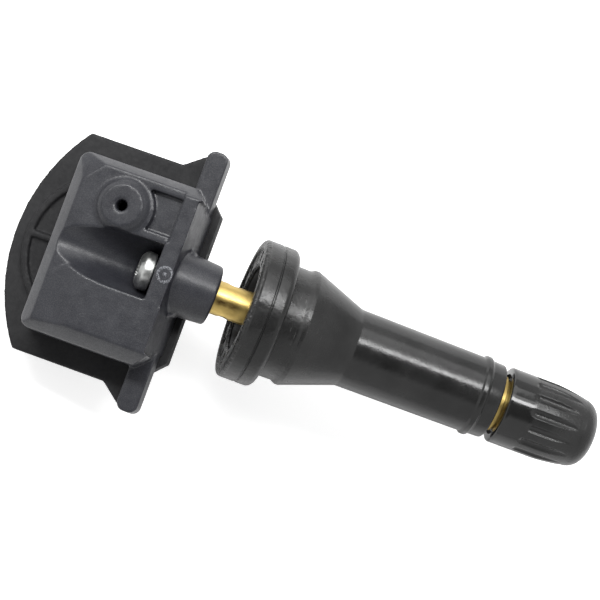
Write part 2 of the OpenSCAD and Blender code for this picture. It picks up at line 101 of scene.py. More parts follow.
# Floor and studio: a white table in a white tent with a dark opening around the camera. A long
# strip light and two soft boxes over the far side draw the bright line on the rubber.
floor_gap = 1.5 * mm
floor_reach = 1.6
floor_white = 0.86
floor_glow_level = 0.55
tent_light = 0.85
opening_light = 0.10
opening_angle = math.radians(24)
opening_end = math.radians(36)
lamp_len = 0.60
floor_mesh = bpy.data.meshes.new("floor")
floor_form = bmesh.new()
bmesh.ops.create_grid(floor_form, x_segments=2, y_segments=2, size=floor_reach)
bmesh.ops.translate(floor_form, vec=(0, 0, cad_box[0][2] - floor_gap),
                    verts=floor_form.verts)
floor_form.to_mesh(floor_mesh)
floor_form.free()
floor = bpy.data.objects.new("floor", floor_mesh)
bpy.context.collection.objects.link(floor)

floor_finish = bpy.data.materials.new("white_table")
floor_finish.use_nodes = True
floor_nodes = floor_finish.node_tree.nodes
floor_links = floor_finish.node_tree.links
floor_shader = floor_nodes["Principled BSDF"]
floor_shader.inputs["Base Color"].default_value = (*[floor_white] * 3, 1)
floor_shader.inputs["Roughness"].default_value = 0.9
floor_shader.inputs["Emission Color"].default_value = (1, 1, 1, 1)
floor_path = floor_nodes.new("ShaderNodeLightPath")
floor_glow = floor_nodes.new("ShaderNodeMath")
floor_glow.operation = "MULTIPLY"
floor_glow.inputs[1].default_value = floor_glow_level
floor_links.new(floor_path.outputs["Is Camera Ray"], floor_glow.inputs[0])
floor_links.new(floor_glow.outputs[0], floor_shader.inputs["Emission Strength"])
floor.data.materials.append(floor_finish)

world = bpy.data.worlds.new("studio")
world.use_nodes = True
bpy.context.scene.world = world
sky_nodes = world.node_tree.nodes
sky_links = world.node_tree.links
sky = sky_nodes["Background"]
sky.inputs["Color"].default_value = (1, 1, 1, 1)
overhead = sky_nodes.new("ShaderNodeVectorMath")
overhead.operation = "DOT_PRODUCT"
overhead.inputs[1].default_value = view_to_row @ to_camera
sky_links.new(sky_nodes.new("ShaderNodeTexCoord").outputs["Generated"], overhead.inputs[0])
opening = sky_nodes.new("ShaderNodeMapRange")
opening.interpolation_type = "SMOOTHSTEP"
opening.inputs["From Min"].default_value = math.cos(opening_end)
opening.inputs["From Max"].default_value = math.cos(opening_angle)
opening.inputs["To Min"].default_value = tent_light
opening.inputs["To Max"].default_value = opening_light
sky_links.new(overhead.outputs["Value"], opening.inputs["Value"])
sky_path = sky_nodes.new("ShaderNodeLightPath")
sky_level = sky_nodes.new("ShaderNodeMath")
sky_level.operation = "MAXIMUM"
sky_links.new(sky_path.outputs["Is Camera Ray"], sky_level.inputs[0])
sky_links.new(opening.outputs["Result"], sky_level.inputs[1])
sky_links.new(sky_level.outputs[0], sky.inputs["Strength"])


def soft_box(name, place, width, power):
    """A long lamp that lies along the valve at a place of the view and looks at the origin."""
    light = bpy.data.lights.new(name, "AREA")
    light.shape = "RECTANGLE"
    light.size = lamp_len
    light.size_y = width
    light.energy = power
    lamp = bpy.data.objects.new(name, light)
    bpy.context.collection.objects.link(lamp)
    place = view_to_row @ Vector(place)
    backward = place.normalized()
    sideways = (view_to_row @ along_valve).normalized()
    upward = backward.cross(sideways).normalized()
    sideways = upward.cross(backward)
    turn = Matrix((sideways, upward, backward)).transposed().to_4x4()
    lamp.matrix_world = Matrix.Translation(place) @ turn


soft_box("far_strip", (0.05, 0.231, 0.396), 0.085, 2.6)
soft_box("middle_box", (0.05, 0.302, 0.345), 0.075, 0.36)
soft_box("far_box", (0.05, 0.39, 0.225), 0.20, 0.6)


# Sensor housing: one glass-filled plastic moulding with draughted sides, screw channel, port,
# pocket, boss and wings. Its solid comes from the frame, and the mould's small rounds are put
# on here; it is welded to the base cover.
def solid_form(node):
    """A bmesh of a solid of the frame, with its corners merged."""
    form = bmesh.new()
    form.from_mesh(nodes[node].data)
    bmesh.ops.remove_doubles(form, verts=form.verts, dist=2e-6)
    return form


def rounded_moulding(name, form, voxel, rounds, kept_share):
    """A form merged to one skin with its edges rounded like a moulding's."""
    mesh = bpy.data.meshes.new(name)
    form.to_mesh(mesh)
    form.free()
    piece = bpy.data.objects.new(name, mesh)
    bpy.context.collection.objects.link(piece)
    remesh = piece.modifiers.new("skin", "REMESH")
    remesh.mode = "VOXEL"
    remesh.voxel_size = voxel
    soften = piece.modifiers.new("rounds", "SMOOTH")
    soften.factor = 0.5
    soften.iterations = rounds
    thin = piece.modifiers.new("thin", "DECIMATE")
    thin.ratio = kept_share
    depsgraph = bpy.context.evaluated_depsgraph_get()
    finished = bpy.data.meshes.new_from_object(piece.evaluated_get(depsgraph))
    piece.modifiers.clear()
    piece.data = finished
    finished.name = name
    finished.materials.clear()
    for face in finished.polygons:
        face.use_smooth = True
    return piece


class Finish:
    """A material's nodes, with the few patterns that the pieces share."""

    def __init__(self, name, colour, roughness, metallic=0.0, specular=0.5):
        self.material = bpy.data.materials.new(name)
        self.material.use_nodes = True
        self.material.diffuse_color = (*colour, 1)
        self.nodes = self.material.node_tree.nodes
        self.links = self.material.node_tree.links
        self.shader = self.nodes["Principled BSDF"]
        self.shader.inputs["Base Color"].default_value = (*colour, 1)
        self.shader.inputs["Roughness"].default_value = roughness
        self.shader.inputs["Metallic"].default_value = metallic
        self.shader.inputs["Specular IOR Level"].default_value = specular
        self.place = self.nodes.new("ShaderNodeTexCoord").outputs["Object"]
        self.bumps = None

    def noise(self, scale, detail, stretch=None):
        source = self.place
        if stretch:
            mapping = self.nodes.new("ShaderNodeMapping")
            mapping.inputs["Scale"].default_value = stretch
            self.links.new(self.place, mapping.inputs["Vector"])
            source = mapping.outputs["Vector"]
        grain = self.nodes.new("ShaderNodeTexNoise")
        grain.inputs["Scale"].default_value = scale
        grain.inputs["Detail"].default_value = detail
        grain.inputs["Roughness"].default_value = 0.55
        self.links.new(source, grain.inputs["Vector"])
        return grain.outputs["Fac"]

    def ramp(self, factor, low, high, from_min=0.3, from_max=0.7):
        spread = self.nodes.new("ShaderNodeMapRange")
        spread.inputs["From Min"].default_value = from_min
        spread.inputs["From Max"].default_value = from_max
        spread.inputs["To Min"].default_value = low
        spread.inputs["To Max"].default_value = high
        self.links.new(factor, spread.inputs["Value"])
        return spread.outputs["Result"]

    def along(self, start, end, low=0.0, high=1.0):
        """A value that goes from low to high between two x places, in millimetres."""
        split = self.nodes.new("ShaderNodeSeparateXYZ")
        self.links.new(self.place, split.inputs["Vector"])
        return self.ramp(split.outputs["X"], low, high, start * mm, end * mm)

    def near(self, point, full, none):
        """A value that fades from 1 to 0 with the distance from a point, in millimetres."""
        distance = self.nodes.new("ShaderNodeVectorMath")
        distance.operation = "DISTANCE"
        distance.inputs[1].default_value = [v * mm for v in point]
        self.links.new(self.place, distance.inputs[0])
        return self.ramp(distance.outputs["Value"], 1, 0, full * mm, none * mm)

    def combine(self, operation, first, second):
        sum_node = self.nodes.new("ShaderNodeMath")
        sum_node.operation = operation
        for socket, value in zip(sum_node.inputs, (first, second)):
            if isinstance(value, (int, float)):
                socket.default_value = value
            else:
                self.links.new(value, socket)
        return sum_node.outputs[0]

    def tint(self, factor, dark, light):
        mix = self.nodes.new("ShaderNodeMix")
        mix.data_type = "RGBA"
        mix.inputs["A"].default_value = (*dark, 1)
        mix.inputs["B"].default_value = (*light, 1)
        self.links.new(factor, mix.inputs["Factor"])
        self.links.new(mix.outputs["Result"], self.shader.inputs["Base Color"])

    def vary(self, socket, factor):
        self.links.new(factor, self.shader.inputs[socket])

    def bump(self, height, strength, distance):
        bump = self.nodes.new("ShaderNodeBump")
        bump.inputs["Strength"].default_value = strength
        bump.inputs["Distance"].default_value = distance
        self.links.new(height, bump.inputs["Height"])
        if self.bumps:
            self.links.new(self.bumps, bump.inputs["Normal"])
        self.bumps = bump.outputs["Normal"]
        self.links.new(self.bumps, self.shader.inputs["Normal"])


housing_colour = (0.022, 0.023, 0.028)
housing_finish = Finish("glass_filled_plastic", housing_colour, 0.38)
housing_clouds = housing_finish.noise(220, 4)
mark_point = (-16.55, 0.1, 5.34)
mark_speckle = housing_finish.ramp(housing_finish.noise(5200, 2), 0, 1, 0.45, 0.55)
mark_rim = housing_finish.combine("SUBTRACT", housing_finish.near(mark_point, 1.1, 1.2),
                                  housing_finish.near(mark_point, 0.75, 0.85))
mark_rim = housing_finish.combine("ADD", housing_finish.combine("MULTIPLY", mark_rim, 1.6),
                                  housing_finish.near(mark_point, 0.2, 0.36))
mark_light = housing_finish.combine("MULTIPLY", mark_speckle, mark_rim)
housing_clouds = housing_finish.ramp(housing_clouds, 0, 0.08)
housing_finish.tint(housing_finish.combine("ADD", housing_clouds, mark_light),
                    (0.015, 0.0155, 0.0195), (0.16, 0.165, 0.18))
housing_glints = housing_finish.noise(7500, 1)
housing_finish.vary("Specular IOR Level",
                    housing_finish.ramp(housing_glints, 0.33, 0.56, 0.45, 0.65))
housing_finish.vary("Roughness", housing_finish.ramp(housing_finish.noise(900, 2), 0.30, 0.40))
housing_finish.bump(housing_finish.noise(4200, 2), 0.3, 0.00004)
housing_finish.bump(housing_finish.noise(420, 2), 0.10, 0.0001)


def rounded_outline(corners, steps=6):
    """Points (station, radius) of an outline, given as corners (station, radius, rounding)."""
    points = []
    for i, corner in enumerate(corners):
        here = Vector(corner[:2])
        rounding = corner[2] if len(corner) > 2 else 0
        before = Vector(corners[i - 1][:2]) - here
        after = Vector(corners[(i + 1) % len(corners)][:2]) - here
        if not rounding or i in (0, len(corners) - 1):
            points.append(here)
            continue
        half = before.angle(after) / 2
        reach = min(rounding / math.tan(half), before.length * 0.49, after.length * 0.49)
        radius = reach * math.tan(half)
        inward = (before.normalized() + after.normalized()).normalized()
        centre = here + inward * radius / math.sin(half)
        start = here + before.normalized() * reach - centre
        end = here + after.normalized() * reach - centre
        for k in range(steps + 1):
            points.append(centre + start.slerp(end, k / steps) * radius)
    return points


def turned_form(outline, steps=96, closed=False):
    """A bmesh turned about the valve axis from an outline of (station, radius) in millimetres."""
    form = bmesh.new()
    ring = [form.verts.new(((s - flange_len) * mm, 0, r * mm)) for s, r in outline]
    edges = [form.edges.new(pair) for pair in zip(ring, ring[1:])]
    if closed:
        edges.append(form.edges.new((ring[-1], ring[0])))
    bmesh.ops.spin(form, geom=ring + edges, cent=(0, 0, 0), axis=(1, 0, 0), dvec=(0, 0, 0),
                   angle=2 * math.pi, steps=steps, use_merge=True, use_duplicate=False)
    bmesh.ops.remove_doubles(form, verts=form.verts, dist=1e-7)
    bmesh.ops.recalc_face_normals(form, faces=form.faces)
    return form


def cut_from(form, cutter, name):
    """The form with the cutter's shape taken out of it."""
    objects = []
    for part in (form, cutter):
        mesh = bpy.data.meshes.new(name)
        part.to_mesh(mesh)
        part.free()
        objects.append(bpy.data.objects.new(name, mesh))
        bpy.context.collection.objects.link(objects[-1])
    cut = objects[0].modifiers.new("cut", "BOOLEAN")
    cut.operation = "DIFFERENCE"
    cut.solver = "EXACT"
    cut.object = objects[1]
    depsgraph = bpy.context.evaluated_depsgraph_get()
    done = bpy.data.meshes.new_from_object(objects[0].evaluated_get(depsgraph))
    for rest in objects:
        bpy.data.objects.remove(rest)
    result = bmesh.new()
    result.from_mesh(done)
    bpy.data.meshes.remove(done)
    return result


def add_form(form, extra):
    """Joins a second closed form to the first; the skin over both is made later."""
    mesh = bpy.data.meshes.new("extra")
    extra.to_mesh(mesh)
    extra.free()
    form.from_mesh(mesh)
    bpy.data.meshes.remove(mesh)


def verts_of(geometry):
    """The vertices among the results of an operation."""
    return [part for part in geometry if isinstance(part, bmesh.types.BMVert)]


def prism_form(outline, half_width):
    """A bar across the sensor from an outline (x, z) in the sensor's own millimetres."""
    form = bmesh.new()
    corners = [form.verts.new((x * mm, -half_width * mm, z * mm)) for x, z in outline]
    pushed = bmesh.ops.extrude_face_region(form, geom=[form.faces.new(corners)])
    bmesh.ops.translate(form, vec=(0, 2 * half_width * mm, 0), verts=verts_of(pushed["geom"]))
    bmesh.ops.recalc_face_normals(form, faces=form.faces)
    return form


# The sensor leans on the valve axis, and its own frame starts at the end wall: x out of the wall,
# z up from the solid's top. The top stands higher than in the solid, so the parts round the
# screw's seat, the boss and the wings' foot are taken out before it is stretched.
sensor_tilt = math.radians(18)
wall_s = -10.05
wall_z = 2.28
sensor_place = (Matrix.Translation(((wall_s - flange_len) * mm, 0, wall_z * mm))
                @ Matrix.Rotation(-sensor_tilt, 4, "Y"))
slack = 0.05
seat_half = 4.2
boss_half = 6.0
wing_root = 9.8
seat_region = [(-3.1, -7), (0.03, -7), (0.03, 1), (-3.1, 1)]
boss_region = [(0.02, -12), (9, -12), (9, 2), (0.02, 2)]
wing_foot_region = [(0.02, -7), (0.6, -7), (0.6, -3), (0.02, -3)]
housing_form = solid_form("housing")
bmesh.ops.transform(housing_form, matrix=sensor_place.inverted(), verts=housing_form.verts)
for region, half_width in ((seat_region, seat_half), (boss_region, boss_half),
                           (wing_foot_region, wing_root - 2 * slack)):
    housing_form = cut_from(housing_form, prism_form(region, half_width), "housing_blank")

# The stretch: the top rises, each level below it rises less, and the foot of the wall and the
# wings stay. The end wall comes out to lean back from its foot to its upper edge.
top_rise = 3.5
top_shift = 0.82
level_low = -5.5
levels = 9
wing_top = -3.3
wing_start = 12.5
wing_back = -2.75
wall_foot = 0.6
wall_edge = 0.04
near_wall = 0.015
for i in range(1, levels + 1):
    level = level_low * i / levels
    everything = housing_form.verts[:] + housing_form.edges[:] + housing_form.faces[:]
    bmesh.ops.bisect_plane(housing_form, geom=everything, dist=1e-7,
                           plane_co=(0, 0, level * mm), plane_no=(0, 0, 1))
for vert in housing_form.verts:
    x, y, z = vert.co / mm
    at_wing = abs(y) > wing_root and x > wing_back and z < wing_top + slack
    if x > 2 * near_wall or abs(y) > wing_start + slack or at_wing:
        continue
    rise = 1 - min(1, max(0, z / level_low)) ** 2
    z += top_rise * rise
    if x > -near_wall:
        height = max(0, (z - level_low) / (top_rise - level_low))
        x = wall_foot + (wall_edge - wall_foot) * height
    else:
        x += top_shift * rise
    vert.co = Vector((x, y, z)) * mm

# Put back in: the band over the screw, the cone at the boss's root below the wall's edge, and on
# the valve axis the screw's seat with the round boss.
band_back = -2.35
band_foot = -6
band = [(band_back, band_foot), (wall_foot, band_foot), (wall_foot, level_low),
        (wall_edge, top_rise), (band_back, top_rise)]
add_form(housing_form, prism_form(band, seat_half + slack))
root_r = 5.4
root_end_r = 4.5
root_len = 1.4
root_x = 0.4
root_z = -2.4
quarter_about_y = Matrix.Rotation(math.radians(90), 3, "Y")
boss_root = bmesh.new()
bmesh.ops.create_cone(boss_root, cap_ends=True, segments=96, radius1=root_r * mm,
                      radius2=root_end_r * mm, depth=root_len * mm)
bmesh.ops.rotate(boss_root, cent=(0, 0, 0), matrix=quarter_about_y, verts=boss_root.verts)
bmesh.ops.translate(boss_root, vec=(root_x * mm, 0, root_z * mm), verts=boss_root.verts)
above_root = prism_form([(-1, -1), (3, -1), (3, 5), (-1, 5)], 8)
add_form(housing_form, cut_from(boss_root, above_root, "boss_root"))
bmesh.ops.transform(housing_form, matrix=sensor_place, verts=housing_form.verts)
screw_seat = -13.2
seat_r = 2.3
boss_start = -11.6
boss_start_r = 4.575
boss_end = -4.35
boss_end_r = 4.1
boss_outline = [(screw_seat, 0), (screw_seat, seat_r), (boss_start, seat_r),
                (boss_start, boss_start_r), (boss_end, boss_end_r, 0.4), (boss_end, 0)]
add_form(housing_form, turned_form(rounded_outline(boss_outline, 4)))

housing_voxel = 0.17 * mm
housing = rounded_moulding("housing_moulding", housing_form, housing_voxel, 3, 0.75)

# Mark of an ejector pin on the band: a low rough ring with a pip in it.
mark_r = 0.95
mark_x = -0.9
mark_y = 0.1
pip_r = 0.34
pip_top_r = 0.2
pip_h = 0.3
mark_form = bmesh.new()
bmesh.ops.create_cone(mark_form, cap_ends=True, segments=24, radius1=pip_r * mm,
                      radius2=pip_top_r * mm, depth=pip_h * mm)
section = [mark_form.verts.new(((mark_r + x) * mm, 0, z * mm)) for x, z in
           ((-0.12, -0.1), (-0.1, 0.02), (0, 0.07), (0.1, 0.02), (0.12, -0.1))]
rim = [mark_form.edges.new(pair) for pair in zip(section, section[1:] + section[:1])]
bmesh.ops.spin(mark_form, geom=section + rim, cent=(0, 0, 0), axis=(0, 0, 1), dvec=(0, 0, 0),
               angle=2 * math.pi, steps=48, use_merge=True, use_duplicate=False)
bmesh.ops.recalc_face_normals(mark_form, faces=mark_form.faces)
mark_place = sensor_place @ Matrix.Translation((mark_x * mm, mark_y * mm, top_rise * mm))
bmesh.ops.transform(mark_form, matrix=mark_place, verts=mark_form.verts)
finished_form = bmesh.new()
finished_form.from_mesh(housing.data)
add_form(finished_form, mark_form)
finished_form.to_mesh(housing.data)
finished_form.free()
for face in housing.data.polygons:
    face.use_smooth = True
housing.data.materials.append(housing_finish.material)
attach(housing, "valve_and_sensor")
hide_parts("housing")

# Base cover: a matt black moulding with the round pan for the coin cell and the curved edge.
# Its outer faces carry a fine spark-eroded grain, and it closes the housing from below.
cover_finish = Finish("grained_black_plastic", (0.010, 0.010, 0.011), 0.62, specular=0.3)
cover_finish.tint(cover_finish.ramp(cover_finish.noise(260, 4), 0, 1),
                  (0.007, 0.007, 0.008), (0.014, 0.014, 0.015))
cover_finish.vary("Roughness", cover_finish.ramp(cover_finish.noise(1500, 2), 0.55, 0.72))
cover_finish.bump(cover_finish.noise(3400, 3), 0.35, 0.00006)

cover_voxel = 0.20 * mm
base = rounded_moulding("base_moulding", solid_form("base_cover"), cover_voxel, 2, 0.7)
base.data.materials.append(cover_finish.material)
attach(base, "valve_and_sensor")
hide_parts("base_cover")

# Retaining screw: zinc plated steel, pan head with a six-lobed socket, screwed through the
# housing's seat into the end of the brass shank, which hides its thread, so that is plain.
def placed(form, name, finish, body, node, crease):
    """Makes the finished form a piece of the object, smooth but for its sharp edges."""
    for face in form.faces:
        face.smooth = True
    for edge in form.edges:
        if len(edge.link_faces) == 2 and edge.calc_face_angle(0) > math.radians(crease):
            edge.smooth = False
    mesh = bpy.data.meshes.new(name)
    form.to_mesh(mesh)
    form.free()
    mesh.materials.append(finish.material)
    piece = bpy.data.objects.new(name, mesh)
    bpy.context.collection.objects.link(piece)
    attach(piece, body)
    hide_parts(node)
    return piece


zinc = Finish("zinc_plated_steel", (0.62, 0.63, 0.62), 0.24, metallic=1.0)
zinc.tint(zinc.ramp(zinc.noise(900, 4), 0, 1), (0.50, 0.51, 0.50), (0.74, 0.75, 0.73))
zinc.vary("Roughness", zinc.ramp(zinc.noise(1800, 3), 0.3, 0.44))
zinc.bump(zinc.noise(2600, 2), 0.15, 0.00003)

head_h = 1.9
head_r = 2.7
head_flat_r = 1.9
head_edge_h = 1.3
screw_r = 1.5
screw_tip_r = 1.0
screw_tip = -5.4
socket_r = 1.3
lobe_mean_r = 1.16
lobe_depth = 0.17
socket_len = 1.8
socket_out = 0.6
screw_form = turned_form(rounded_outline([
    (screw_seat - head_h, 0), (screw_seat - head_h, head_flat_r, 0.3),
    (screw_seat - head_edge_h, head_r, 0.7), (screw_seat, head_r, 0.2),
    (screw_seat, screw_r, 0.05), (screw_tip - 0.5, screw_r, 0.05),
    (screw_tip, screw_tip_r, 0.1), (screw_tip, 0)]), 72)
socket = bmesh.new()
bmesh.ops.create_circle(socket, cap_ends=True, segments=48, radius=socket_r * mm)
for vert in socket.verts:
    lobe = math.atan2(vert.co.y, vert.co.x)
    vert.co *= (lobe_mean_r + lobe_depth * math.cos(6 * lobe)) / socket_r
pushed = bmesh.ops.extrude_face_region(socket, geom=socket.faces[:])
bmesh.ops.translate(socket, vec=(0, 0, socket_len * mm), verts=verts_of(pushed["geom"]))
bmesh.ops.rotate(socket, cent=(0, 0, 0), matrix=quarter_about_y, verts=socket.verts)
bmesh.ops.translate(socket, vec=((screw_seat - head_h - socket_out - flange_len) * mm, 0, 0),
                    verts=socket.verts)
bmesh.ops.recalc_face_normals(socket, faces=socket.faces)
placed(cut_from(screw_form, socket, "screw_blank"), "retaining_screw_head", zinc,
       "valve_and_sensor", "retaining_screw", crease=32)

# Brass stem: one turned bar with the shank that enters the sensor, collars that anchor the
# rubber, an air bore with a cross hole, and the filler thread cut at 32 turns to the inch.
brass = Finish("turned_brass", (0.64, 0.46, 0.16), 0.26, metallic=1.0)
# Painted reflection: a streaky dark brown band over the top of the shank stands for the dark
# opening round the camera mirrored in the brass. Besides it, the brass has only a random light
# tone.
painted_dark_reflection = brass.combine("ADD", brass.near((-8.0, -0.6, 2.3), 0.2, 1.1),
                            brass.near((-6.4, -0.7, 2.3), 0.3, 1.5))
painted_reflection_streaks = brass.noise(900, 4, stretch=(0.4, 1, 1))
painted_dark_reflection = brass.combine("MULTIPLY", painted_dark_reflection,
                            brass.ramp(painted_reflection_streaks, 0.4, 0.95, 0.4, 0.6))
brass_tone_with_painted_reflection = brass.combine("SUBTRACT", brass.ramp(brass.noise(900, 3), 0.85, 1), painted_dark_reflection)
brass.tint(brass_tone_with_painted_reflection, (0.12, 0.075, 0.025), (0.60, 0.44, 0.15))
brass.vary("Roughness", brass.ramp(brass.noise(1400, 4), 0.32, 0.44))
brass.bump(brass.noise(7000, 2), 0.12, 0.00002)

inch = 25.4
thread_pitch = inch / 32
thread_r = 3.875
thread_root = 3.44
thread_start = 38.0
mouth = 47.8
shank_start = -9.9
shank_r = 2.35
screw_hole_r = 1.55
collar_r = 3.4
bar_r = 2.9
chamber_r = 2.65
barrel_bore_r = 2.0
air_bore_r = 1.2
on_axis = 0.02
stem_form = turned_form(rounded_outline([
    (shank_start, screw_hole_r), (shank_start, shank_r, 0.3), (2.6, shank_r, 0.1),
    (3.4, collar_r), (4.6, collar_r), (4.9, bar_r), (5.8, bar_r),
    (6.1, collar_r), (7.4, collar_r), (7.8, bar_r), (33.45, bar_r),
    (34.85, thread_r), (37.35, thread_r, 0.08), (37.5, thread_root),
    (mouth - 0.45, thread_root), (mouth, thread_root - 0.35), (mouth, chamber_r + 0.1, 0.1),
    (mouth - 0.3, chamber_r), (mouth - 7.8, chamber_r), (mouth - 9, barrel_bore_r),
    (mouth - 19.2, barrel_bore_r), (mouth - 19.9, air_bore_r), (-3.4, air_bore_r),
    (-3.9, on_axis), (-4.3, on_axis), (-4.8, screw_hole_r)], 3), closed=True)


def add_thread(form, start, end, root, crest, pitch, steps=40):
    """Adds one helical ridge to a form, from one station to another."""
    turns = (end - start) / pitch
    foot = 0.44 * pitch
    tip = 0.06 * pitch
    sunk = root - 0.08
    profile = [(-foot, sunk), (-tip, crest), (tip, crest), (foot, sunk)]
    ring = [form.verts.new(((start + s - flange_len) * mm, 0, r * mm)) for s, r in profile]
    edges = [form.edges.new(pair) for pair in zip(ring, ring[1:] + ring[:1])]
    form.faces.new(ring)
    total = int(turns * steps)
    result = bmesh.ops.spin(form, geom=ring + edges, cent=(0, 0, 0), axis=(1, 0, 0),
                            dvec=((end - start) / total * mm, 0, 0), angle=2 * math.pi * turns,
                            steps=total, use_merge=False, use_duplicate=False)
    form.faces.new(verts_of(result["geom_last"]))


add_thread(stem_form, thread_start, mouth - 0.7, thread_root, thread_r, thread_pitch)
bmesh.ops.recalc_face_normals(stem_form, faces=stem_form.faces)
cross_hole_s = -2.2
cross_hole_r = 0.9
quarter_about_x = Matrix.Rotation(math.radians(90), 3, "X")
cross_hole = bmesh.new()
bmesh.ops.create_cone(cross_hole, cap_ends=True, segments=32, radius1=cross_hole_r * mm,
                      radius2=cross_hole_r * mm, depth=10 * mm)
bmesh.ops.rotate(cross_hole, cent=(0, 0, 0), matrix=quarter_about_x, verts=cross_hole.verts)
bmesh.ops.translate(cross_hole, vec=((cross_hole_s - flange_len) * mm, 0, 0),
                    verts=cross_hole.verts)
placed(cut_from(stem_form, cross_hole, "stem_blank"), "brass_stem_turned", brass,
       "valve_and_sensor", "brass_stem", crease=30)

# Rubber valve body: black EPDM moulded and bonded round the stem, with the flange that seals
# inside the rim, the neck for the rim hole, its ridge, the cone and the bead at the outer end.
rubber = Finish("black_valve_rubber", (0.006, 0.006, 0.006), 0.24, specular=0.5)
rubber_scuffs = rubber.ramp(rubber.noise(1200, 3, stretch=(3.4, 0.5, 0.5)), 0, 1, 0.64, 0.72)
rubber_scuffs = rubber.combine("MULTIPLY", rubber_scuffs, rubber.near((2.0, 0.4, 7.6), 1.0, 4.4))
rubber.tint(rubber.combine("ADD", rubber.ramp(rubber.noise(160, 4), 0, 0.12), rubber_scuffs),
            (0.004, 0.004, 0.004), (0.10, 0.10, 0.10))
rubber_rough = rubber.combine("ADD", rubber.ramp(rubber.noise(500, 4), 0.14, 0.26),
                              rubber.along(3.0, 9.0, 0.09, 0.0))
rubber.vary("Roughness", rubber.combine("ADD", rubber_rough,
                                        rubber.combine("MULTIPLY", rubber_scuffs, 0.3)))
flange_mouth = rubber.near((-3.2, 0, 0), 5.8, 6.4)
rubber.vary("Specular IOR Level", rubber.ramp(flange_mouth, 0.44, 0.12, 0, 1))
rubber.bump(rubber.noise(1500, 3), 0.26, 0.00005)
rubber.bump(rubber.noise(3600, 2), 0.22, 0.00003)
rubber_mottle = rubber.combine("MULTIPLY", rubber.noise(750, 4), rubber.along(2.0, 7.0, 1, 0.15))
rubber.bump(rubber_mottle, 0.5, 0.00012)
face_wear = rubber.combine("MULTIPLY", rubber.noise(1600, 3), rubber.along(-4.5, -4.2, 1, 0))
rubber.bump(face_wear, 0.9, 0.0003)

flange_r = 9.75
groove_r = 9.58
ridge_r = 8.13
bead_r = 5.62
face_s = -0.35
dish_s = -0.1
rubber_end = 36.6
rubber_form = turned_form(rounded_outline([
    (face_s, 8.5, 0.1), (face_s, flange_r, 0.95), (2.12, flange_r, 0.06), (2.24, groove_r, 0.04),
    (2.36, groove_r, 0.04), (2.48, flange_r, 0.06), (flange_len, flange_r, 1.05),
    (flange_len, 7.85, 0.2), (6.9, 7.80, 0.8), (7.5, ridge_r, 0.45), (8.0, ridge_r, 0.45),
    (9.0, 7.76, 0.8), (15.3, 5.47, 1.2), (33.4, 5.33, 0.15), (33.75, bead_r, 0.3),
    (34.35, bead_r, 0.3), (34.65, 5.26, 0.15), (rubber_end, 5.20, 0.35),
    (rubber_end, 3.90, 0.1), (34.85, 3.90), (33.45, 2.92), (7.8, 2.92), (7.4, 3.42), (6.1, 3.42),
    (5.8, 2.92), (4.9, 2.92), (4.6, 3.42), (3.4, 3.42), (2.6, 2.38), (2.3, 2.38), (2.3, 5.5, 0.3),
    (0.2, 6.0, 0.1), (dish_s, 6.3, 0.1), (dish_s, 8.3, 0.08)]), 128, closed=True)
notch_count = 16
notch_turn = 5
notch_s = -0.5
notch_r = 7.3
notch_size = (1.7, 0.9, 1.45)
face_notches = bmesh.new()
for i in range(notch_count):
    notch = bmesh.ops.create_cube(face_notches, size=mm)["verts"]
    turn = Matrix.Rotation(math.radians(360 / notch_count * i + notch_turn), 3, "X")
    bmesh.ops.scale(face_notches, vec=notch_size, verts=notch)
    bmesh.ops.translate(face_notches, vec=((notch_s - flange_len) * mm, 0, notch_r * mm),
                        verts=notch)
    bmesh.ops.rotate(face_notches, cent=(0, 0, 0), matrix=turn, verts=notch)
placed(cut_from(rubber_form, face_notches, "rubber_blank"), "rubber_valve_body", rubber,
       "valve_and_sensor", "rubber_body", crease=50)

# Valve core: a brass plug with a hollow head, a barrel with its conical seal, and a pin with a
# collar, a sealing cup and the spring that closes it. It is screwed down the stem's mouth.
plug_r = 2.35
plug_thread_r = 2.6
plug_form = turned_form(rounded_outline([
    (mouth - 6.2, 1.05), (mouth - 6.2, plug_r, 0.1), (mouth - 1.8, plug_r, 0.05),
    (mouth - 1.8, 1.7), (mouth - 1.0, 1.7, 0.15), (mouth - 1.0, 1.05, 0.05)], 3), 64, closed=True)
add_thread(plug_form, mouth - 5.7, mouth - 2.2, plug_r, plug_thread_r, inch / 36, steps=32)
bmesh.ops.recalc_face_normals(plug_form, faces=plug_form.faces)
placed(plug_form, "core_plug_threaded", brass, "valve_and_sensor", "core_plug",
       crease=30)

barrel_r = 1.75
spring_low = mouth - 13.4
spring_high = mouth - 7.9
barrel_form = turned_form(rounded_outline([
    (mouth - 14.2, 0.75), (mouth - 14.2, barrel_r, 0.1), (mouth - 8.6, barrel_r),
    (mouth - 8.6, 1.45), (mouth - 7.6, 1.45), (mouth - 7.6, barrel_r),
    (mouth - 6.2, barrel_r, 0.05), (mouth - 6.2, 1.05), (mouth - 6.8, 1.05), (mouth - 7, 1.3),
    (spring_low, 1.3), (spring_low, 0.75)], 3), 48, closed=True)
placed(barrel_form, "core_barrel_turned", brass, "valve_and_sensor", "core_barrel",
       crease=30)

seal_red = Finish("red_seal", (0.42, 0.03, 0.02), 0.4)
seal_red.tint(seal_red.ramp(seal_red.noise(800, 3), 0, 1),
              (0.34, 0.022, 0.016), (0.48, 0.04, 0.03))
seal_red.bump(seal_red.noise(2500, 2), 0.1, 0.00003)
seal_low = mouth - 8.58
seal_high = mouth - 7.62
seal_form = turned_form(rounded_outline([
    (seal_low, 1.47), (seal_low, 2.15, 0.15), (mouth - 7.9, 2.5, 0.12), (seal_high, 2.4, 0.1),
    (seal_high, 1.47)], 4), 48, closed=True)
placed(seal_form, "core_seal_ring", seal_red, "valve_and_sensor",
       "core_barrel_seal", crease=40)

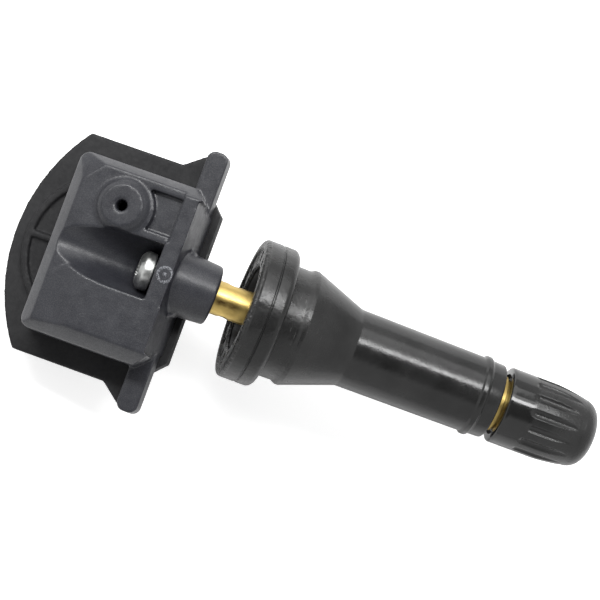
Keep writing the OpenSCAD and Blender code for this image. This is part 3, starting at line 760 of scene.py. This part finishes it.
pin_r = 0.55
cup_low = mouth - 16.0
pin_form = turned_form(rounded_outline([
    (mouth - 16.6, 0), (mouth - 16.6, 1.45, 0.15), (cup_low, 1.45, 0.1), (cup_low, pin_r, 0.05),
    (spring_high, pin_r), (spring_high, 1.2, 0.08), (mouth - 7.4, 1.2, 0.08), (mouth - 7.4, pin_r),
    (mouth - 0.3, pin_r, 0.3), (mouth - 0.3, 0)], 4), 40)
placed(pin_form, "core_pin_turned", brass, "core_pin_group", "core_pin", crease=30)

soft_black = Finish("soft_black_seal", (0.035, 0.035, 0.04), 0.55)
soft_black.tint(soft_black.ramp(soft_black.noise(700, 3), 0, 1),
                (0.028, 0.028, 0.032), (0.045, 0.045, 0.05))
soft_black.bump(soft_black.noise(2200, 2), 0.15, 0.00004)
cup_high = mouth - 14.22
cup_form = turned_form(rounded_outline([
    (cup_low, 0.57), (cup_low, 1.6, 0.2), (cup_high, 1.6, 0.25), (cup_high, 0.57)], 5),
    48, closed=True)
placed(cup_form, "core_cup_moulded", soft_black, "core_pin_group", "core_cup",
       crease=40)

wire_r = 0.15
coil_r = 1.0
spring_turns = 9
spring_form = bmesh.new()
wire = bmesh.ops.create_circle(spring_form, cap_ends=True, segments=10,
                               radius=wire_r * mm)["verts"]
bmesh.ops.rotate(spring_form, cent=(0, 0, 0), matrix=quarter_about_x, verts=wire)
bmesh.ops.translate(spring_form, verts=wire,
                    vec=((spring_low + wire_r - flange_len) * mm, 0, coil_r * mm))
spring_steps = spring_turns * 24
spring_len = spring_high - spring_low
spring_rise = (spring_len - 2 * wire_r) / spring_steps * mm
wound = bmesh.ops.spin(spring_form, geom=spring_form.verts[:] + spring_form.edges[:],
                       cent=(0, 0, 0), axis=(1, 0, 0), dvec=(spring_rise, 0, 0),
                       angle=2 * math.pi * spring_turns, steps=spring_steps,
                       use_merge=False, use_duplicate=False)
spring_form.faces.new(verts_of(wound["geom_last"]))
bmesh.ops.recalc_face_normals(spring_form, faces=spring_form.faces)
spring = placed(spring_form, "core_spring_wire", zinc, "valve_and_sensor",
                "core_spring", crease=60)
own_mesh(spring)

# Cap: a glossy black moulding with a smooth collar, fifteen rounded grip flutes and a domed end,
# lined with a washer. It screws on the stem's thread and leaves a thin ring of brass showing.
cap_black = Finish("gloss_black_plastic", (0.008, 0.008, 0.008), 0.22, specular=0.5)
cap_black.tint(cap_black.ramp(cap_black.noise(200, 4), 0, 1),
               (0.005, 0.005, 0.005), (0.012, 0.012, 0.012))
grip_from = 36.4
grip_full = 37.0
cap_rough = cap_black.combine("ADD", cap_black.ramp(cap_black.noise(700, 4), 0.06, 0.14),
                              cap_black.along(grip_from, grip_full, 0, 0.2))
cap_black.vary("Roughness", cap_rough)
cap_black.bump(cap_black.noise(1800, 2), 0.08, 0.00004)
cap_grain = cap_black.combine("MULTIPLY", cap_black.noise(3400, 2),
                              cap_black.along(grip_from, grip_full))
cap_black.bump(cap_grain, 0.6, 0.00006)

cap_start = 37.6
cap_r = 5.35
bore_r = 3.925
relief_r = 4.35
relief_len = 0.9
shoulder_s = cap_start + 6.6
dome_s = cap_start + 11.0
dome_r = 4.80
dome_len = 2.75
cap_inside = mouth + 1.2
flutes = 15
flute_turn = math.radians(2.5)
flute_from = cap_start + 4.0
flute_depth = 0.3
flute_cut_r = 0.7
flute_lean = math.radians(1)
cap_points = [(cap_start + 1.2, bore_r), (cap_start + relief_len, relief_r),
              (cap_start, relief_r), (cap_start, cap_r - 0.25), (cap_start + 0.06, cap_r - 0.1),
              (cap_start + 0.25, cap_r)]
cap_points += [(cap_start + 0.6 + 0.22 * i, cap_r) for i in range(27)]
cap_points += [(shoulder_s + 0.27 * i, cap_r - 0.5 * ((0.27 * i) / 4.3) ** 1.5)
               for i in range(16)]
dome = [math.radians(90 * i / 16) for i in range(17)]
cap_points += [(dome_s + dome_len * math.sin(a), dome_r * math.cos(a) ** 0.70) for a in dome]
cap_points += [(cap_inside, 0), (cap_inside, bore_r)]
cap_form = turned_form(cap_points, 360, closed=True)


def flute_floor(turn, station):
    """Radius of the floor of the nearest flute, a round-bottomed groove that starts round."""
    pitch = 2 * math.pi / flutes
    offset = cap_r * math.sin((turn - flute_turn + pitch / 2) % pitch - pitch / 2)
    before = max(0, flute_from - station)
    inside = flute_cut_r ** 2 - offset ** 2 - before ** 2
    if inside <= 0:
        return cap_r
    fall = flute_depth + math.tan(flute_lean) * max(0, station - flute_from)
    return cap_r - fall + flute_cut_r - math.sqrt(inside)


outside_r = 4.2
for vert in cap_form.verts:
    radius = math.hypot(vert.co.y, vert.co.z)
    station = vert.co.x / mm + flange_len
    if radius > outside_r * mm and station > cap_start + 1.5:
        floor_r = flute_floor(math.atan2(vert.co.y, vert.co.z), station) * mm
        if floor_r < radius:
            vert.co.y *= floor_r / radius
            vert.co.z *= floor_r / radius
placed(cap_form, "fluted_cap", cap_black, "cap_turner", "cap", crease=60)

washer_r = 3.7
washer_hole_r = 1.2
washer_gap = 0.02
washer_form = turned_form(rounded_outline([
    (mouth + washer_gap, washer_hole_r), (mouth + washer_gap, washer_r, 0.2),
    (cap_inside - washer_gap, washer_r, 0.2), (cap_inside - washer_gap, washer_hole_r)], 4),
    48, closed=True)
placed(washer_form, "cap_washer", soft_black, "cap_lifter", "cap_seal", crease=40)

# Electronics: the coin cell lies in the base cover's pan, its two strips are welded up to the
# board, and the board carries the pressure sensor under the port, the chip, crystal and coils.
nickel = Finish("nickel_sheet", (0.60, 0.59, 0.57), 0.28, metallic=1.0)
nickel.tint(nickel.ramp(nickel.noise(500, 3), 0, 1), (0.52, 0.51, 0.49), (0.68, 0.67, 0.65))
nickel.vary("Roughness", nickel.ramp(nickel.noise(1500, 3, stretch=(1, 0.1, 1)), 0.2, 0.36))
solder_mask = Finish("green_solder_mask", (0.012, 0.10, 0.04), 0.32)
solder_mask.tint(solder_mask.ramp(solder_mask.noise(900, 2), 0, 1),
                 (0.008, 0.07, 0.028), (0.02, 0.14, 0.06))
solder_mask.bump(solder_mask.noise(1800, 2), 0.15, 0.00004)
chip_epoxy = Finish("chip_epoxy", (0.016, 0.016, 0.017), 0.6)
chip_epoxy.tint(chip_epoxy.ramp(chip_epoxy.noise(1600, 3), 0, 1),
                (0.012, 0.012, 0.013), (0.022, 0.022, 0.023))
chip_epoxy.bump(chip_epoxy.noise(5200, 2), 0.2, 0.00003)
winding = Finish("enamelled_copper", (0.42, 0.16, 0.06), 0.3, metallic=0.9)
wires = winding.noise(4000, 1, stretch=(1, 0.05, 0.05))
winding.tint(winding.ramp(wires, 0, 1), (0.30, 0.10, 0.04), (0.50, 0.20, 0.08))
winding.bump(wires, 0.5, 0.00008)
inner_finishes = {
    "coin_cell": nickel, "cell_tab_plus": nickel, "cell_tab_minus": nickel,
    "clock_crystal": nickel, "circuit_board": solder_mask, "pressure_sensor": chip_epoxy,
    "controller_chip": chip_epoxy, "chip_parts": chip_epoxy, "port_seal": soft_black,
    "receiver_coil": winding, "transmit_antenna": winding}
for node, finish in inner_finishes.items():
    nodes[node].data.materials.clear()
    nodes[node].data.materials.append(finish.material)
